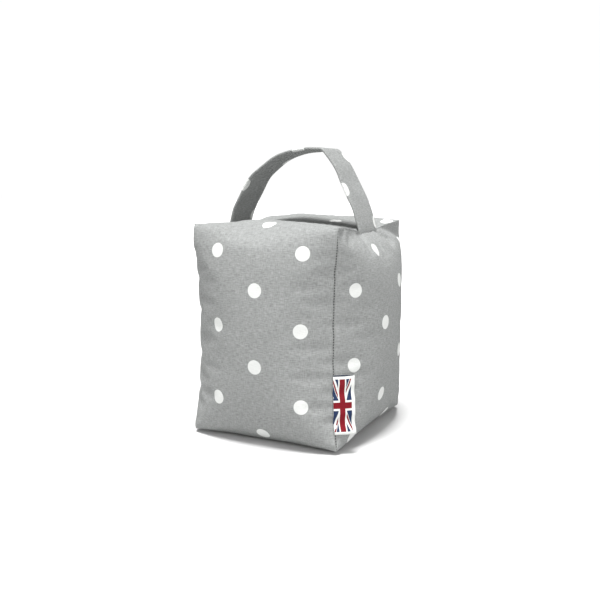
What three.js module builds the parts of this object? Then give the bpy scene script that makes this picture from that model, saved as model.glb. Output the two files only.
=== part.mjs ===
// Weighted fabric door stop: a spotted cotton cover sewn shut around its filling, with a strap
// handle over the top and a small folded tag in one seam. Lengths are in millimetres and +Z is
// up. The origin is on the floor under the middle of the cover, and the front faces -Y.

import * as THREE from "three";

// Cover, measured flat from seam to seam
const coverWidth = 142;
const coverDepth = 153;
const coverHeight = 191;
const clothStep = 6.3;

// How the cover is sewn and filled
const centreSeamShare = 0.75;
const sideSeamShare = 0.88;
const seamSink = 0.6;
const fillingWeightShare = 0.19;
const fillingPushShare = 0.75;
const topSlackShare = 0.92;
const threadPullShare = 1;
const threadPushShare = 0.39;
const shearPullShare = 0.45;
const bendPullShare = 0.02;
const settleSteps = 420;
const settlePasses = 8;
const settleDampingShare = 0.08;
const startHeight = 6;
const growthShare = 0.3;
const pushShare = 0.0032;
const topBandShare = 0.9;
const flatBelow = 0.3;

// Strap handle
const strapWidth = 40;
const strapThickness = 2.4;
const strapSpan = 129;
const strapRise = 71;
const strapCreaseX = 29;
const strapLeftStart = { reachShare: 0.09, riseShare: 0.5 };
const strapLeftTop = { reachShare: 0.33, riseShare: 1.07 };
const strapRightTop = { reachShare: 0.6, riseShare: 0.79 };
const strapRightEnd = { reachShare: 0.18, riseShare: 0.38 };
const strapStep = 6.5;
const seatGap = 0.3;

// Folded tag in the front right seam
const tagHeight = 50;
const tagWidth = 19;
const tagThickness = 1.2;
const tagBase = 14.5;
const tagTurn = 12;
const tagMargin = 2.2;
const tagHem = 4.2;
const tagBar = 4.4;
const tagBarEdge = 1.9;
const tagRay = 3.4;
const tagRayCore = 1.3;
const lineSnap = 0.15;

// Printed spots: columns `spotAcross` apart, and every other column half a repeat lower
const spotDiameter = 12.6;
const spotAcross = 40;
const spotUp = 64.5;
const spotSnap = 0.6;
const frontSpot = { u: 114, v: 168.3 };
const backSpot = { u: 47, v: 175 };
const rightSpot = { u: 19.6, v: 136.9 };
const leftSpot = { u: 127, v: 136 };
const strapSpot = { u: 0, v: 44 };

// Colours
const clothMaterial = new THREE.MeshStandardMaterial({ color: 0xa3a5a4, roughness: 0.95, metalness: 0 });
const spotMaterial = new THREE.MeshStandardMaterial({ color: 0xf6f7f4, roughness: 0.9, metalness: 0 });
const navyMaterial = new THREE.MeshStandardMaterial({ color: 0x233c69, roughness: 0.8, metalness: 0 });
const redMaterial = new THREE.MeshStandardMaterial({ color: 0x96101f, roughness: 0.8, metalness: 0 });
const materials = [clothMaterial, spotMaterial, navyMaterial, redMaterial];
const CLOTH = 0;
const WHITE = 1;
const NAVY = 2;
const RED = 3;

const evenCount = (length, step) => 2 * Math.max(1, Math.round(length / step / 2));

// The flat pattern. Six panels of threads form a box, and every crossing of two threads is a
// node. Each cell of four nodes also holds its place in the printed cloth: the front and back
// are strips that run on over the top and under the base, and each side is a piece of its own.
function makePattern() {
  const count = [
    evenCount(coverWidth, clothStep),
    evenCount(coverDepth, clothStep),
    evenCount(coverHeight, clothStep),
  ];
  const size = [coverWidth, coverDepth, coverHeight];
  const indexOf = new Map();
  const nodes = [];
  const node = (i, j, k) => {
    const key = `${i},${j},${k}`;
    if (!indexOf.has(key)) {
      indexOf.set(key, nodes.length);
      nodes.push([i, j, k]);
    }
    return indexOf.get(key);
  };
  const [nx, ny, nz] = count;
  const [dx, dy, dz] = size.map((length, axis) => length / count[axis]);
  const cells = [];
  const panel = (piece, across, along, place, fabric) => {
    for (let a = 0; a < across; a += 1) {
      for (let b = 0; b < along; b += 1) {
        const corners = [[a, b], [a + 1, b], [a + 1, b + 1], [a, b + 1]];
        cells.push({
          piece,
          nodes: corners.map(([p, q]) => node(...place(p, q))),
          fabric: corners.map(([p, q]) => fabric(p, q)),
        });
      }
    }
  };
  panel("front", nx, nz, (p, q) => [p, 0, q], (p, q) => [p * dx, q * dz]);
  panel("back", nx, nz, (p, q) => [nx - p, ny, q], (p, q) => [p * dx, q * dz]);
  panel("right", ny, nz, (p, q) => [nx, p, q], (p, q) => [p * dy, q * dz]);
  panel("left", ny, nz, (p, q) => [0, ny - p, q], (p, q) => [p * dy, q * dz]);
  const overTop = (p, q) => [p * dx, coverHeight + q * dy];
  panel("front", nx, ny / 2, (p, q) => [p, q, nz], overTop);
  panel("back", nx, ny / 2, (p, q) => [nx - p, ny - q, nz], overTop);
  panel("front", nx, ny, (p, q) => [nx - p, q, 0], (p, q) => [(nx - p) * dx, -q * dy]);
  return { count, size, nodes, cells, node: (i, j, k) => indexOf.get(`${i},${j},${k}`) };
}

// Every edge of a cell is a thread, its two diagonals resist shear, and pairs of threads in a
// row resist bending. The seam across the top and the top seams of the sides are drawn up.
function makeThreads(pattern) {
  const { count, size, nodes, cells } = pattern;
  const [nx, ny, nz] = count;
  const flat = (n) => nodes[n].map((c, axis) => (c / count[axis]) * size[axis]);
  const gap = (a, b) => new THREE.Vector3(...flat(a)).distanceTo(new THREE.Vector3(...flat(b)));
  const threads = new Map();
  const tie = (a, b, length, pull, push) => {
    const key = a < b ? `${a}-${b}` : `${b}-${a}`;
    if (!threads.has(key)) threads.set(key, { a, b, length, pull, push });
  };
  const share = (a, b) => {
    const [ia, ja, ka] = nodes[a];
    const [ib, jb, kb] = nodes[b];
    const onTop = ka === nz && kb === nz;
    if (onTop && ja * 2 === ny && jb * 2 === ny) return centreSeamShare;
    if (onTop && ia === ib && (ia === 0 || ia === nx)) return sideSeamShare;
    return 1;
  };
  for (const cell of cells) {
    const [a, b, c, d] = cell.nodes;
    for (const [p, q] of [[a, b], [b, c], [c, d], [d, a]]) {
      tie(p, q, gap(p, q) * share(p, q), threadPullShare, threadPushShare);
    }
    tie(a, c, gap(a, c), shearPullShare, shearPullShare * threadPushShare);
    tie(b, d, gap(b, d), shearPullShare, shearPullShare * threadPushShare);
  }
  const bend = (a, middle, b) => {
    if (a === undefined || middle === undefined || b === undefined) return;
    tie(a, b, gap(a, middle) + gap(middle, b), bendPullShare, bendPullShare);
  };
  for (const [i, j, k] of nodes) {
    const here = pattern.node(i, j, k);
    bend(here, pattern.node(i + 1, j, k), pattern.node(i + 2, j, k));
    bend(here, pattern.node(i, j, k + 1), pattern.node(i, j, k + 2));
    const crossesCentreSeam = k === nz && j + 1 === ny / 2;
    if (!crossesCentreSeam) bend(here, pattern.node(i, j + 1, k), pattern.node(i, j + 2, k));
  }
  for (let i = 0; i <= nx; i += 1) {
    for (const [face, inward] of [[0, 1], [ny, -1]]) {
      bend(pattern.node(i, face + inward, nz), pattern.node(i, face, nz), pattern.node(i, face, nz - 1));
      bend(pattern.node(i, face + inward, 0), pattern.node(i, face, 0), pattern.node(i, face, 1));
    }
  }
  return [...threads.values()];
}

// The strap's ends are caught in the top seams of the two sides, `strapSpan` apart. Each end
// keeps its own width and stays level, and moves up and down with the cover.
function makeStrapEnds(pattern) {
  const [nx, ny, nz] = pattern.count;
  const step = coverDepth / ny;
  return [0, nx].map((i) => {
    const side = i === 0 ? -1 : 1;
    const middle = ny / 2;
    const reach = Math.max(1, Math.floor(strapWidth / 2 / (step * sideSeamShare)));
    const held = [];
    for (let j = middle - reach; j <= middle + reach; j += 1) {
      const y = ((j - middle) / reach) * (strapWidth / 2);
      held.push({ n: pattern.node(i, j, nz), x: (side * strapSpan) / 2, y });
    }
    return held;
  });
}

// The cover takes its shape from the pattern: the filling presses every panel outwards, a
// little harder lower down, while each thread keeps its length and the floor holds the base.
function settleCover(pattern) {
  const { nodes, cells, count, size } = pattern;
  const threads = makeThreads(pattern);
  const ends = makeStrapEnds(pattern);
  const at = new Float64Array(nodes.length * 3);
  nodes.forEach(([i, j, k], n) => {
    at[3 * n] = (i / count[0] - 0.5) * size[0];
    at[3 * n + 1] = (j / count[1] - 0.5) * size[1];
    at[3 * n + 2] = (k / count[2]) * size[2] + startHeight;
  });
  const before = at.slice();
  const outward = new Float64Array(at.length);
  const cellArea = (size[0] / count[0]) * (size[2] / count[2]);
  for (let step = 0; step < settleSteps; step += 1) {
    const growth = Math.min(1, step / (settleSteps * growthShare));
    addCellNormals(cells, at, outward);
    for (let n = 0; n < nodes.length; n += 1) {
      const level = at[3 * n + 2] / size[2];
      const slack = topSlackShare * THREE.MathUtils.clamp((level - topBandShare) / (1 - topBandShare), 0, 1);
      const push = fillingPushShare * (1 - slack) + fillingWeightShare * (1 - level);
      const pressure = (push * growth * pushShare * clothStep) / cellArea;
      for (let c = 3 * n; c < 3 * n + 3; c += 1) {
        const held = at[c];
        at[c] += (held - before[c]) * (1 - settleDampingShare) + outward[c] * pressure;
        before[c] = held;
      }
    }
    for (let pass = 0; pass < settlePasses; pass += 1) {
      pullThreads(threads, at, pass % 2 === 1);
      for (let z = 2; z < at.length; z += 3) at[z] = Math.max(0, at[z]);
      holdStrapEnds(ends, at);
    }
  }
  return { at, outward, strapEnds: ends };
}

// Area-weighted outward normals: each corner takes a quarter of its cell's area vector.
function addCellNormals(cells, at, normals) {
  normals.fill(0);
  for (const { nodes: [a, b, c, d] } of cells) {
    const [px, py, pz] = [0, 1, 2].map((axis) => at[3 * c + axis] - at[3 * a + axis]);
    const [qx, qy, qz] = [0, 1, 2].map((axis) => at[3 * d + axis] - at[3 * b + axis]);
    const area = [(py * qz - pz * qy) / 8, (pz * qx - px * qz) / 8, (px * qy - py * qx) / 8];
    for (const n of [a, b, c, d]) {
      normals[3 * n] += area[0];
      normals[3 * n + 1] += area[1];
      normals[3 * n + 2] += area[2];
    }
  }
}

// Brings each thread back towards its own length, in turn, forwards and then backwards.
function pullThreads(threads, at, backwards) {
  for (let r = 0; r < threads.length; r += 1) {
    const thread = threads[backwards ? threads.length - 1 - r : r];
    const a = 3 * thread.a;
    const b = 3 * thread.b;
    const dx = at[b] - at[a];
    const dy = at[b + 1] - at[a + 1];
    const dz = at[b + 2] - at[a + 2];
    const stretch = 1 - thread.length / Math.sqrt(dx * dx + dy * dy + dz * dz);
    const share = (stretch > 0 ? thread.pull : thread.push) * stretch * 0.5;
    at[a] += dx * share;
    at[a + 1] += dy * share;
    at[a + 2] += dz * share;
    at[b] -= dx * share;
    at[b + 1] -= dy * share;
    at[b + 2] -= dz * share;
  }
}

function holdStrapEnds(ends, at) {
  for (const end of ends) {
    const height = end.reduce((sum, { n }) => sum + at[3 * n + 2], 0) / end.length;
    for (const { n, x, y } of end) {
      at[3 * n] = x;
      at[3 * n + 1] = y;
      at[3 * n + 2] = height;
    }
  }
}

// Signed distance from a place in the printed cloth to the rim of the nearest spot.
function spotDistance({ u: startU, v: startV }) {
  return ([u, v]) => {
    let nearest = Infinity;
    const column = Math.round((u - startU) / spotAcross);
    for (let c = column - 1; c <= column + 1; c += 1) {
      const drop = c % 2 === 0 ? 0 : spotUp / 2;
      const row = Math.round((v - startV + drop) / spotUp);
      const du = u - startU - c * spotAcross;
      const dv = v - startV + drop - row * spotUp;
      nearest = Math.min(nearest, Math.hypot(du, dv));
    }
    return nearest - spotDiameter / 2;
  };
}

// Splits faces along the line where their `field` is zero. A cut is kept with its edge, so the
// faces on both sides of the edge share the new point and the surface stays closed. A corner
// within `snap` millimetres of the line counts as lying on it.
function splitFaces(points, faces, snap) {
  const total = points.length;
  const cutsOf = new Map();
  const keyOf = (a, b) => Math.min(a, b) * total + Math.max(a, b);
  const cutEdge = (a, b, share) => {
    const key = keyOf(a, b);
    const fromLow = a < b ? share : 1 - share;
    const low = points[Math.min(a, b)];
    const high = points[Math.max(a, b)];
    const cuts = cutsOf.get(key) ?? [];
    cutsOf.set(key, cuts);
    const found = cuts.find((cut) => Math.abs(cut.fromLow - fromLow) * low.distanceTo(high) < snap);
    if (found) return found.point;
    points.push(low.clone().lerp(high, fromLow));
    cuts.push({ fromLow, point: points.length - 1 });
    return points.length - 1;
  };
  const ownCuts = faces.map(({ corners, fabric, field }) => {
    if (!field) return [];
    const level = fabric.map(field).map((distance) => (Math.abs(distance) < snap ? 0 : distance));
    const own = corners.filter((_, e) => level[e] === 0);
    for (let e = 0; e < 3; e += 1) {
      const [from, to] = [level[e], level[(e + 1) % 3]];
      if (from * to < 0) own.push(cutEdge(corners[e], corners[(e + 1) % 3], from / (from - to)));
    }
    return own;
  });
  const outline = ({ corners, fabric }) => {
    const ring = [];
    for (let e = 0; e < 3; e += 1) {
      const [a, b] = [corners[e], corners[(e + 1) % 3]];
      const [from, to] = [fabric[e], fabric[(e + 1) % 3]];
      ring.push({ point: a, place: from });
      const cuts = (cutsOf.get(keyOf(a, b)) ?? []).map((cut) => {
        const share = a < b ? cut.fromLow : 1 - cut.fromLow;
        return { share, point: cut.point };
      });
      cuts.sort((p, q) => p.share - q.share);
      for (const { share, point } of cuts) {
        ring.push({ point, place: [0, 1].map((c) => from[c] + (to[c] - from[c]) * share) });
      }
    }
    return ring;
  };
  return faces.flatMap((face, n) => {
    const ring = outline(face);
    if (ring.length === 3) return [face];
    const ends = ownCuts[n].map((point) => ring.findIndex((corner) => corner.point === point));
    const rings = [ring];
    const isChord = ends.length === 2 && Math.abs(ends[0] - ends[1]) > 1 && !isSide(face.corners, ownCuts[n]);
    if (isChord) {
      const [first, last] = ends.sort((p, q) => p - q);
      rings[0] = ring.slice(first, last + 1);
      rings[1] = [...ring.slice(last), ...ring.slice(0, first + 1)];
    }
    return rings.flatMap((part) => clipEars(part).map((ear) => ({ ...face, ...ear })));
  });
}

const isSide = (corners, ends) => ends.every((point) => corners.includes(point));

// Cuts a convex outline into triangles, the smallest sound corner first.
function clipEars(outline) {
  const ring = [...outline];
  const ears = [];
  const twiceArea = (p, q, r) =>
    (q[0] - p[0]) * (r[1] - p[1]) - (r[0] - p[0]) * (q[1] - p[1]);
  while (ring.length > 3) {
    const areas = ring.map((corner, n) => {
      const area = Math.abs(twiceArea(ring.at(n - 1).place, corner.place, ring[(n + 1) % ring.length].place));
      return area > 1e-9 ? area : Infinity;
    });
    const n = areas.indexOf(Math.min(...areas));
    const ear = [ring.at(n - 1), ring[n], ring[(n + 1) % ring.length]];
    ears.push(ear);
    ring.splice(n, 1);
  }
  ears.push(ring);
  return ears.map((ear) => ({
    corners: ear.map(({ point }) => point),
    fabric: ear.map(({ place }) => place),
  }));
}

const middleOf = ({ fabric }) => [0, 1].map((c) => (fabric[0][c] + fabric[1][c] + fabric[2][c]) / 3);

// One closed mesh with a group of triangles for each colour that its faces take.
function paintedMesh(name, points, faces, paintOf) {
  const sorted = materials.map(() => []);
  for (const face of faces) sorted[paintOf(face)].push(...face.corners);
  const geometry = new THREE.BufferGeometry();
  const coordinates = points.flatMap((point) => point.toArray());
  geometry.setAttribute("position", new THREE.Float32BufferAttribute(coordinates, 3));
  geometry.setIndex(sorted.flat());
  let start = 0;
  sorted.forEach((corners, paint) => {
    if (corners.length) geometry.addGroup(start, corners.length, paint);
    start += corners.length;
  });
  geometry.computeVertexNormals();
  const mesh = new THREE.Mesh(geometry, materials);
  mesh.name = name;
  return mesh;
}

// The closed cover, with its seams drawn in a little and the part on the floor quite flat.
function buildCover(pattern, { at, outward }) {
  const [nx, ny, nz] = pattern.count;
  const points = pattern.nodes.map(([i, j, k], n) => {
    const point = new THREE.Vector3().fromArray(at, 3 * n);
    const normal = new THREE.Vector3().fromArray(outward, 3 * n).normalize();
    const onSide = i === 0 || i === nx;
    const onSideSeam = onSide && (j === 0 || j === ny || k === 0 || k === nz);
    const onCentreSeam = k === nz && j * 2 === ny;
    if (onSideSeam || onCentreSeam) point.addScaledVector(normal, -seamSink);
    if (point.z < flatBelow) point.z = 0;
    return point;
  });
  const fields = {
    front: spotDistance(frontSpot),
    back: spotDistance(backSpot),
    right: spotDistance(rightSpot),
    left: spotDistance(leftSpot),
  };
  const faces = pattern.cells.flatMap(({ piece, nodes, fabric }) =>
    halveCell(points, nodes, fabric).map((face) => ({ ...face, field: fields[piece] })));
  const split = splitFaces(points, faces, spotSnap);
  return paintedMesh("weighted_cover", points, split, spotPaint);
}

// Two triangles for a cell, along the shorter of its diagonals.
function halveCell(points, nodes, fabric) {
  const [a, b, c, d] = nodes.map((n) => points[n]);
  const order = a.distanceTo(c) < b.distanceTo(d) ? [[0, 1, 2], [0, 2, 3]] : [[0, 1, 3], [1, 2, 3]];
  return order.map((corners) => ({
    corners: corners.map((c0) => nodes[c0]),
    fabric: corners.map((c0) => fabric[c0]),
  }));
}

const spotPaint = (face) => (face.field && face.field(middleOf(face)) < 0 ? WHITE : CLOTH);

// The strap's middle line rises from the left end to a sharp crease and falls to the right end.
function strapLine(endHeight) {
  const half = (strapSpan + strapThickness) / 2;
  const at = (x, riseShare) => new THREE.Vector3(x, 0, endHeight + riseShare * strapRise);
  const onLeft = ({ reachShare, riseShare }) => at(-half + reachShare * (half + strapCreaseX), riseShare);
  const onRight = ({ reachShare, riseShare }) => at(half - reachShare * (half - strapCreaseX), riseShare);
  const crease = at(strapCreaseX, 1);
  const legs = [
    new THREE.CubicBezierCurve3(at(-half, 0), onLeft(strapLeftStart), onLeft(strapLeftTop), crease),
    new THREE.CubicBezierCurve3(crease, onRight(strapRightTop), onRight(strapRightEnd), at(half, 0)),
  ];
  return legs.flatMap((leg, n) => leg.getSpacedPoints(Math.ceil(leg.getLength() / strapStep)).slice(n));
}

// The strap is a flat band of folded cloth, a closed solid with its spots on both faces.
function buildStrap(endHeight) {
  const line = strapLine(endHeight);
  const across = evenCount(strapWidth, strapStep);
  const layers = [1, -1].map((side) => line.map((point, n) => {
    const before = line[Math.max(0, n - 1)];
    const after = line[Math.min(line.length - 1, n + 1)];
    const along = after.clone().sub(before).normalize();
    const out = new THREE.Vector3(-along.z, 0, along.x);
    return point.clone().addScaledVector(out, (side * strapThickness) / 2);
  }));
  const points = [];
  for (const layer of layers) {
    for (const point of layer) {
      for (let b = 0; b <= across; b += 1) {
        points.push(point.clone().setY((b / across - 0.5) * strapWidth));
      }
    }
  }
  const lengths = line.map((point, n) => (n ? point.distanceTo(line[n - 1]) : 0));
  const along = lengths.map((_, n) => lengths.slice(0, n + 1).reduce((sum, length) => sum + length, 0));
  const fabric = (a, b) => [(b / across) * strapWidth, along[a]];
  const faces = bandFaces(points, line.length - 1, across, fabric, spotDistance(strapSpot));
  return paintedMesh("strap_handle", points, splitFaces(points, faces, spotSnap), spotPaint);
}

// A closed band of two layers of points. Cells run `rows` along it and `across` its width, its
// first layer is the outer face, and `field` marks the print on both faces.
function bandFaces(points, rows, across, fabric, field) {
  const layerSize = (rows + 1) * (across + 1);
  const id = (layer, a, b) => layer * layerSize + a * (across + 1) + b;
  const faces = [];
  const addCell = (nodes, places, print, layer) => {
    faces.push(...halveCell(points, nodes, places).map((face) => ({ ...face, field: print, layer })));
  };
  for (let a = 0; a < rows; a += 1) {
    for (let b = 0; b < across; b += 1) {
      const square = [[a, b], [a + 1, b], [a + 1, b + 1], [a, b + 1]];
      const places = square.map(([p, q]) => fabric(p, q));
      addCell(square.map(([p, q]) => id(0, p, q)), places, field, 0);
      addCell(square.map(([p, q]) => id(1, p, q)).reverse(), [...places].reverse(), field, 1);
    }
  }
  const rim = [];
  for (let b = 0; b < across; b += 1) rim.push([0, b]);
  for (let a = 0; a < rows; a += 1) rim.push([a, across]);
  for (let b = across; b > 0; b -= 1) rim.push([rows, b]);
  for (let a = rows; a > 0; a -= 1) rim.push([a, 0]);
  rim.forEach(([a, b], n) => {
    const [c, d] = rim[(n + 1) % rim.length];
    const nodes = [id(0, a, b), id(0, c, d), id(1, c, d), id(1, a, b)];
    addCell(nodes, [[0, 0], [1, 0], [1, 1], [0, 1]], null, 2);
  });
  return faces;
}

// The tag is caught in the front right seam. It leaves the seam along the side cloth, turned
// outwards by `tagTurn` degrees, and hangs straight from the seam's own curve.
function buildTag(pattern, { at }) {
  const [nx, , nz] = pattern.count;
  const step = coverHeight / nz;
  const node = (j, k) => new THREE.Vector3().fromArray(at, 3 * pattern.node(nx, j, k));
  const onSeam = (j, height) => {
    const k = Math.min(nz - 1, Math.floor(height / step));
    return node(j, k).lerp(node(j, k + 1), height / step - k);
  };
  const middle = tagBase + tagHeight / 2;
  const along = onSeam(2, middle).sub(onSeam(0, middle)).setZ(0).normalize();
  along.applyAxisAngle(new THREE.Vector3(0, 0, 1), -THREE.MathUtils.degToRad(tagTurn));
  const out = new THREE.Vector3(along.y, -along.x, 0);
  const uLines = crossLines(crossU, fieldWidth, tagWidth);
  const vLines = crossLines(crossV, fieldHeight, tagHeight).reverse();
  const points = [];
  for (const side of [1, -1]) {
    for (const v of vLines) {
      const root = onSeam(0, tagBase + v);
      for (const u of uLines) {
        const point = root.clone().addScaledVector(along, seatGap + u);
        points.push(point.addScaledVector(out, seatGap + (tagThickness * (1 + side)) / 2));
      }
    }
  }
  const fabric = (a, b) => [uLines[b], vLines[a]];
  let faces = bandFaces(points, vLines.length - 1, uLines.length - 1, fabric, null);
  for (const offset of [-tagRay / 2, 0, tagRayCore, tagRay / 2]) {
    for (const face of faces) face.field = rayLine(face, offset);
    faces = splitFaces(points, faces, lineSnap);
  }
  return paintedMesh("side_tag", points, faces, tagPaint);
}

// The print is two crosses, one upright and one of rays, over a dark field with a white hem.
const fieldWidth = tagWidth - tagMargin / 2 - tagHem;
const fieldHeight = tagHeight - 2 * tagMargin;
const crossU = tagMargin / 2 + fieldWidth / 2;
const crossV = tagHeight / 2;
const rayLength = Math.hypot(fieldWidth, fieldHeight);

// Where the upright cross's edges and the field's ends lie along one side of the tag.
function crossLines(middle, field, whole) {
  const reaches = [field / 2, tagBar / 2 + tagBarEdge, tagBar / 2];
  const before = reaches.map((reach) => middle - reach);
  const after = reaches.map((reach) => middle + reach).reverse();
  return [0, ...before, ...after, whole];
}

const isInField = ({ layer }, du, dv) =>
  layer === 0 && du < fieldWidth / 2 && dv < fieldHeight / 2 && Math.min(du, dv) > tagBar / 2 + tagBarEdge;

// Signed distance from the middle line of the ray in this quarter of the field. The sign turns
// over from quarter to quarter, so the ray's red core lies on the same side of its own middle.
function rayDistance([u, v], [middleU, middleV]) {
  const lean = (middleU > crossU) === (middleV > crossV) ? 1 : -1;
  const distance = ((u - crossU) * fieldHeight - lean * (v - crossV) * fieldWidth) / rayLength;
  return middleV > crossV ? distance : -distance;
}

function rayLine(face, offset) {
  const middle = middleOf(face);
  const inField = isInField(face, Math.abs(middle[0] - crossU), Math.abs(middle[1] - crossV));
  return inField ? (place) => rayDistance(place, middle) - offset : null;
}

function tagPaint(face) {
  const middle = middleOf(face);
  const du = Math.abs(middle[0] - crossU);
  const dv = Math.abs(middle[1] - crossV);
  if (isInField(face, du, dv)) {
    const distance = rayDistance(middle, middle);
    if (distance > 0 && distance < tagRayCore) return RED;
    return Math.abs(distance) < tagRay / 2 ? WHITE : NAVY;
  }
  const onPrint = face.layer === 0 && du < fieldWidth / 2 && dv < fieldHeight / 2;
  return onPrint && Math.min(du, dv) < tagBar / 2 ? RED : WHITE;
}

const pattern = makePattern();
const settled = settleCover(pattern);
const strapEndHeight = settled.at[3 * settled.strapEnds[0][0].n + 2];

const doorStop = new THREE.Group();
doorStop.name = "door_stop";
doorStop.add(buildCover(pattern, settled));
doorStop.add(buildStrap(strapEndHeight + seatGap));
doorStop.add(buildTag(pattern, settled));

export default doorStop;
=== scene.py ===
"""Looks of the weighted fabric door stop: a settled, sewn cover in spotted cotton with its
stitched seams, the folded strap over the top and the small woven tag. Work is in millimetres
until a mesh is made, then in metres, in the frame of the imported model. In a flat place u runs
across a piece of cloth and v up it."""

import math
from itertools import product

import bpy
import numpy as np
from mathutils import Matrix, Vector, noise


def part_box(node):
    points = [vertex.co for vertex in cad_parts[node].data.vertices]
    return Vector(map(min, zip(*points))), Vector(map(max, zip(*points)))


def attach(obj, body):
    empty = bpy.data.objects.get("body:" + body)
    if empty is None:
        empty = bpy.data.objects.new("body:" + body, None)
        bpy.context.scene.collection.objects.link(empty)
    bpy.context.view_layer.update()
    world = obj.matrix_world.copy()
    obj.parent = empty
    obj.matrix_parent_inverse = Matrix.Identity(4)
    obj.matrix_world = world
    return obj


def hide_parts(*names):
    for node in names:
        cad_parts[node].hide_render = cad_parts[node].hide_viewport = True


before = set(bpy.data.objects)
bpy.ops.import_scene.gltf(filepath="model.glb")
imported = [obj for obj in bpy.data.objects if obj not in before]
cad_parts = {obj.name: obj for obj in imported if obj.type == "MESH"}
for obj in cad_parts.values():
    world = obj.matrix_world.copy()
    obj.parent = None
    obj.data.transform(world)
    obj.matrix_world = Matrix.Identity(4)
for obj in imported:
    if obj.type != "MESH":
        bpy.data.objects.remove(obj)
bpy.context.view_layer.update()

MM = 0.001
# Two places of the flat pattern this near each other are the same, in millimetres
SAME = 0.01
# A distance that is past every seam's reach, in millimetres
FAR = 99.0

# The flat pattern of the cover: width, depth and height
COVER = np.array([142.0, 153.0, 191.0])
# How much of their flat length the top's seams keep once they are sewn
CENTRE_SEAM_SHARE = 0.75
SIDE_SEAM_SHARE = 0.88

# The filling: its push everywhere, its push at the floor from its own weight, and how slack
# the cover is above the level where the filling ends
FILLING_PUSH = 0.75
FILLING_WEIGHT = 0.19
TOP_SLACK = 0.92
TOP_BAND = 0.9
# How far a push of one moves a node in a step, as a share of the coarse threads' pitch
PUSH_SHARE = 0.0032
COARSE_PITCH = 6.3
PUSH_SCALE = PUSH_SHARE * COARSE_PITCH
# Share of the steps in which the push grows to its full strength
GROWING_SHARE = 0.3

# The threads: how they resist being shortened, slanted and bent, and how motion dies away
THREAD_PUSH = 0.39
SHEAR_PULL = 0.45
BEND_PULL = 0.02
DAMPING = 0.08
# How often all threads are pulled in a step, and the height that the cover starts from
PASSES = 16
START_HEIGHT = 6.0

# Coarse threads first, then twice as many: threads across, deep and high, the steps, and the
# share of the push, less for finer threads because they give more
LEVELS = [((22, 24, 30), 420, 1.0), ((44, 48, 60), 12, 0.25)]
QUICK_STEPS = 4

# How often the top's rows are smoothed, how many rows below it are smoothed less and less,
# and how far each pass moves a place towards the middle of its neighbours
TOP_PASSES = 24
STIFF_ROWS = 6
SMOOTHING = 0.25

# Extra rows of cloth close to a seam, at these distances from it
SEAM_ROWS = (0.5, 1.1, 2.0)
# How far the cloth stands out at the seam itself and at each of those rows
UPRIGHT_SEAM = (-1.1, -0.45, 0.08, 0.1)
TOP_SEAM = (0.9, 0.1, -0.15, 0.0)
CENTRE_SEAM = (-1.6, -0.7, 0.0, 0.0)
# The base seam is drawn in this much of an upright seam
BASE_SEAM_SHARE = 0.5
# Nearer an upright seam than this the top seam isn't raised
TOP_SEAM_START = 0.4
# Cloth that settled below this height lies flat on the floor
FLAT_BELOW = 0.3

# The filling's lumps under the cloth, and the puckers that start just beside the upright seams
LUMP = 0.5
LUMP_SIZE = 26.0
PUCKER = 0.8
PUCKER_PITCH = 6.0
PUCKER_REACH = 9.0
PUCKER_START = 0.8
PUCKER_SEED = (7, 3)

# The strap, a band of folded cloth: its width, the distance between its ends, its thickness,
# how high it rises, how far right of the middle it is highest, how deep its ends go into the
# top seams, and how far above the solid strap's foot its curves start
STRAP_WIDTH = 40.0
STRAP_SPAN = 129.0
STRAP_THICKNESS = 2.4
STRAP_RISE = 71.0
STRAP_CREASE = 29.0
STRAP_ROOT = 3.0
STRAP_END_LIFT = 0.3
# The pulls of the strap's two curves: how far in from the end or the half's reach, and how
# high above the end or the top, as shares of that half's reach and of the rise
LEFT_START = (0.09, 0.5)
LEFT_TOP = (0.33, 0.07)
RIGHT_TOP = (0.6, -0.21)
RIGHT_END = (0.18, -0.62)
STRAP_CURVE_POINTS = 200
STRAP_STEP = 2.0
# The band's outline from one long edge to the other: across it, and out of its outer face
SECTION_ACROSS = (-1, -0.985, -0.93, -0.8, -0.55, -0.25, 0, 0.25, 0.55, 0.8, 0.93, 0.985, 1)
SECTION_OUT = (0, 0.62, 1.0, 1.04, 0.9, 0.8, 0.78, 0.8, 0.9, 1.04, 1.0, 0.62, 0)
# How the hanging band waves out and in, cups across and strays to the side, with the distance
# along it over which these start, and the sizes and seeds of their noise
STRAP_WAVE = 1.3
STRAP_CUP = 0.5
STRAP_CUP_LEVEL = 0.4
STRAP_WOBBLE = 0.8
STRAP_EASE = 25
WAVE_SIZE = (19, 24)
WAVE_SEED = 4.5
WOBBLE_SIZE = 23
WOBBLE_SEED = (9.5, 1.0)

# The tag, a woven ribbon folded over, with its two ends caught in the front right seam: its
# height and width, where it starts up the seam, the degrees it is turned out from the side,
# how much higher its back layer lies, and how far its free edge bows out
TAG_HEIGHT = 50.0
TAG_WIDTH = 17.6
TAG_BASE = 14.5
TAG_TURN = 12.0
TAG_SKEW = 1.3
TAG_BOW = 1.0
# The bow's share of a half turn at the tag's foot, and how much more it has by its top
BOW_PHASE = (0.15, 0.9)
# The shares of the way round the ribbon between which it climbs to its back layer
SKEW_SPAN = (0.25, 0.75)
TAG_ROWS = 26
TAG_STEP = 0.8
# Rows near the open top in which the inside of the ribbon's fold gets painted shade
OPEN_ROWS = 5
# The ribbon's thickness, how much of it is in the seam, and its distance from the cover
RIBBON = 0.35
RIBBON_ROOT = 1.2
SEAT_GAP = 0.3
# Threads of the side from the seam to the place that the tag's direction is taken from
TAG_REACH = 2
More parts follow.
